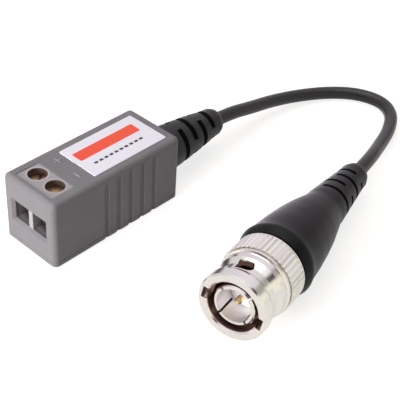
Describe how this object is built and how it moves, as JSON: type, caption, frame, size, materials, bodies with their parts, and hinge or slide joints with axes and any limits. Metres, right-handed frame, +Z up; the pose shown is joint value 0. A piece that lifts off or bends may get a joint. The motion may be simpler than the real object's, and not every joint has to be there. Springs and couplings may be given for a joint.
{
  "type": "passive video balun",
  "caption": "Small grey box with a screw terminal and a label, on a short black coaxial lead that ends in a bayonet plug.",
  "frame": {"origin": "middle of the box's base, on the surface that it stands on", "axes": "+X from the screw terminal to the lead, +Z up, -Y towards the side that the plug lies on"},
  "size_m": [0.0942, 0.0565, 0.0157],
  "materials": {
    "grey_plastic": "fine satin texture",
    "light_grey_plastic": "smooth satin",
    "white_film": "printed film, slightly glossy",
    "board_laminate": "solder mask",
    "ferrite": "dull ground ferrite",
    "enamelled_wire": "clear enamel over copper",
    "black_epoxy": "moulded epoxy",
    "yellow_film": "dipped film",
    "screw_brass": "plated, dull in the well",
    "tinned_brass": "tinned",
    "zinc_plated_steel": "zinc plated",
    "black_vinyl": "soft satin",
    "white_core": "smooth",
    "nickel_plate": "bright nickel",
    "spring_steel": "bright",
    "gold_plate": "gold flash",
    "white_insulator": "waxy",
    "silicone": "soft"
  },
  "bodies": {
    "base": {"housing": "grey_plastic", "base_cover": "grey_plastic", "label": "white_film", "circuit_board": "board_laminate", "terminal_block": "light_grey_plastic", "transformer_core": "ferrite", "winding_1": "enamelled_wire", "winding_2": "enamelled_wire", "surge_diode": "black_epoxy", "capacitor": "yellow_film", "core_lead": "white_core", "shield_lead": "tinned_brass", "contact_strip_1": "tinned_brass", "contact_strip_2": "tinned_brass", "strain_relief": "black_vinyl", "cable": "black_vinyl", "plug_boot": "black_vinyl", "connector_body": "nickel_plate", "insulator": "white_insulator", "centre_pin": "gold_plate", "cable_core_end": "white_core", "gasket": "silicone", "crimp_ferrule": "nickel_plate", "spring_washer": "spring_steel", "retaining_ring": "spring_steel"},
    "clamp_screw_1": {"terminal_screw_1": "screw_brass"},
    "clamp_screw_2": {"terminal_screw_2": "screw_brass"},
    "cage_1": {"clamp_cage_1": "zinc_plated_steel"},
    "cage_2": {"clamp_cage_2": "zinc_plated_steel"},
    "nut_carrier": {"thrust_washer": "nickel_plate"},
    "bayonet_nut": {"coupling_nut": "nickel_plate"}
  },
  "joints": [
    {"name": "screw_turn_1", "type": "hinge", "parent": "base", "child": "clamp_screw_1", "pos_m": [-0.0119, 0.00254, 0.0135], "axis": [0, 0, -1], "range_deg": [0, 1728]},
    {"name": "cage_lift_1", "type": "slide", "parent": "base", "child": "cage_1", "axis": [0, 0, 1], "range_m": [0, 0.00216]},
    {"name": "screw_turn_2", "type": "hinge", "parent": "base", "child": "clamp_screw_2", "pos_m": [-0.0119, -0.00254, 0.0135], "axis": [0, 0, -1], "range_deg": [0, 1728]},
    {"name": "cage_lift_2", "type": "slide", "parent": "base", "child": "cage_2", "axis": [0, 0, 1], "range_m": [0, 0.00216]},
    {"name": "nut_push", "type": "slide", "parent": "base", "child": "nut_carrier", "axis": [-0.9751, -0.208, 0.0771], "range_m": [0, 0.0007], "stiffness_N_per_m": 6000, "springref_m": -0.0007, "deforming": ["spring_washer"]},
    {"name": "nut_turn", "type": "hinge", "parent": "nut_carrier", "child": "bayonet_nut", "pos_m": [-0.00724, -0.04275, 0.00899], "axis": [-0.9751, -0.208, 0.0771], "continuous": true}
  ],
  "couplings": [
    {"joint": "screw_turn_1", "follows": "cage_lift_1", "rad_per_m": 13963},
    {"joint": "screw_turn_2", "follows": "cage_lift_2", "rad_per_m": 13963}
  ]
}
